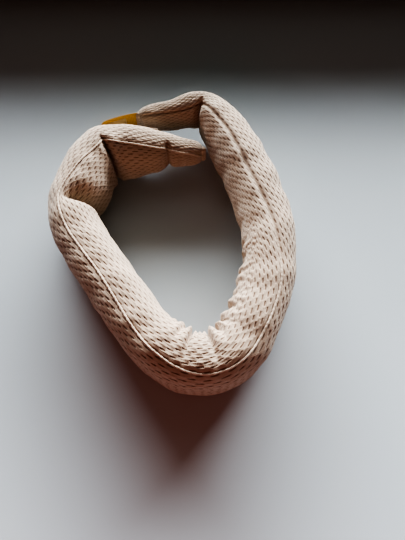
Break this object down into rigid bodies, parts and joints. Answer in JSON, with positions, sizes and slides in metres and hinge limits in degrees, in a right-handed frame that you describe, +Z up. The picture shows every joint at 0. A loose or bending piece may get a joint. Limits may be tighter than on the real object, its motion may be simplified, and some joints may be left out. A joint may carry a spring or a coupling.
{
  "type": "cervical collar",
  "caption": "Soft foam cervical collar in a perforated knit cover, wrapped into a ring whose ends overlap and close with a hook tab.",
  "frame": {"origin": "centre of the collar's outline on the surface it stands on", "axes": "+Z up across the height of the band, -Y towards the chin, +Y towards the overlap at the back of the neck, +X towards the arm that carries the outer flap"},
  "size_m": [0.1047, 0.1446, 0.0308],
  "materials": {
    "cover_knit": "matte",
    "seam_tape": "matte",
    "foam": "matte",
    "tab_webbing": "matte",
    "hook_plastic": "matte",
    "loop_pile": "matte",
    "thread": "matte"
  },
  "bodies": {
    "chin": {"foam_chin": "foam", "cover_chin": "cover_knit", "seam_chin": "seam_tape"},
    "left_arm": {"foam_left_arm": "foam", "cover_left_arm": "cover_knit", "seam_left_arm": "seam_tape"},
    "left_back": {"foam_left_back": "foam", "cover_left_back": "cover_knit", "seam_left_back": "seam_tape"},
    "inner_back": {"foam_inner_back": "foam", "cover_inner_back": "cover_knit", "seam_inner_back": "seam_tape", "loop_patch": "loop_pile", "patch_stitches": "thread"},
    "inner_end": {"foam_inner_end": "foam", "cover_inner_end": "cover_knit", "seam_inner_end": "seam_tape", "hem_inner_end": "cover_knit"},
    "right_arm_lower": {"foam_right_arm_lower": "foam", "cover_right_arm_lower": "cover_knit", "seam_right_arm_lower": "seam_tape"},
    "right_arm_upper": {"foam_right_arm_upper": "foam", "cover_right_arm_upper": "cover_knit", "seam_right_arm_upper": "seam_tape"},
    "outer_flap": {"foam_outer_flap": "foam", "cover_outer_flap": "cover_knit", "seam_outer_flap": "seam_tape", "hem_outer_flap": "cover_knit", "tab_root": "tab_webbing"},
    "hook_tab": {"tab_strap": "tab_webbing", "hook_field": "hook_plastic", "tab_stitches": "thread"}
  },
  "joints": [
    {"name": "collar_open", "type": "hinge", "parent": "chin", "child": "right_arm_lower", "pos_m": [0.04139, -0.05356, 0.015], "axis": [0, 0, -1], "range_deg": [0, 60]},
    {"name": "right_arm_bend", "type": "hinge", "parent": "right_arm_lower", "child": "right_arm_upper", "pos_m": [0.05063, 0.00547, 0.015], "axis": [0, 0, -1], "range_deg": [0, 36]},
    {"name": "flap_bend", "type": "hinge", "parent": "right_arm_upper", "child": "outer_flap", "pos_m": [0.01703, 0.07227, 0.015], "axis": [0, 0, -1], "range_deg": [0, 84]},
    {"name": "left_arm_open", "type": "hinge", "parent": "chin", "child": "left_arm", "pos_m": [-0.01621, -0.05548, 0.015], "axis": [0, 0, 1], "range_deg": [0, 48]},
    {"name": "left_back_bend", "type": "hinge", "parent": "left_arm", "child": "left_back", "pos_m": [-0.05241, 0.00374, 0.015], "axis": [0, 0, 1], "range_deg": [0, 48]},
    {"name": "inner_back_bend", "type": "hinge", "parent": "left_back", "child": "inner_back", "pos_m": [-0.03812, 0.04644, 0.015], "axis": [0, 0, 1], "range_deg": [0, 60]},
    {"name": "inner_end_bend", "type": "hinge", "parent": "inner_back", "child": "inner_end", "pos_m": [-0.00188, 0.04676, 0.015], "axis": [0, 0, 1], "range_deg": [0, 9]},
    {"name": "tab_peel", "type": "hinge", "parent": "outer_flap", "child": "hook_tab", "pos_m": [-0.02194, 0.05782, 0.015], "axis": [0, 0, -1], "range_deg": [0, 90]}
  ],
  "couplings": [
    {"joint": "right_arm_bend", "follows": "collar_open", "ratio": 0.6},
    {"joint": "flap_bend", "follows": "collar_open", "ratio": 1.4},
    {"joint": "left_arm_open", "follows": "collar_open", "ratio": 0.8},
    {"joint": "left_back_bend", "follows": "collar_open", "ratio": 0.8},
    {"joint": "inner_back_bend", "follows": "collar_open", "ratio": 1},
    {"joint": "inner_end_bend", "follows": "collar_open", "ratio": 0.15}
  ]
}
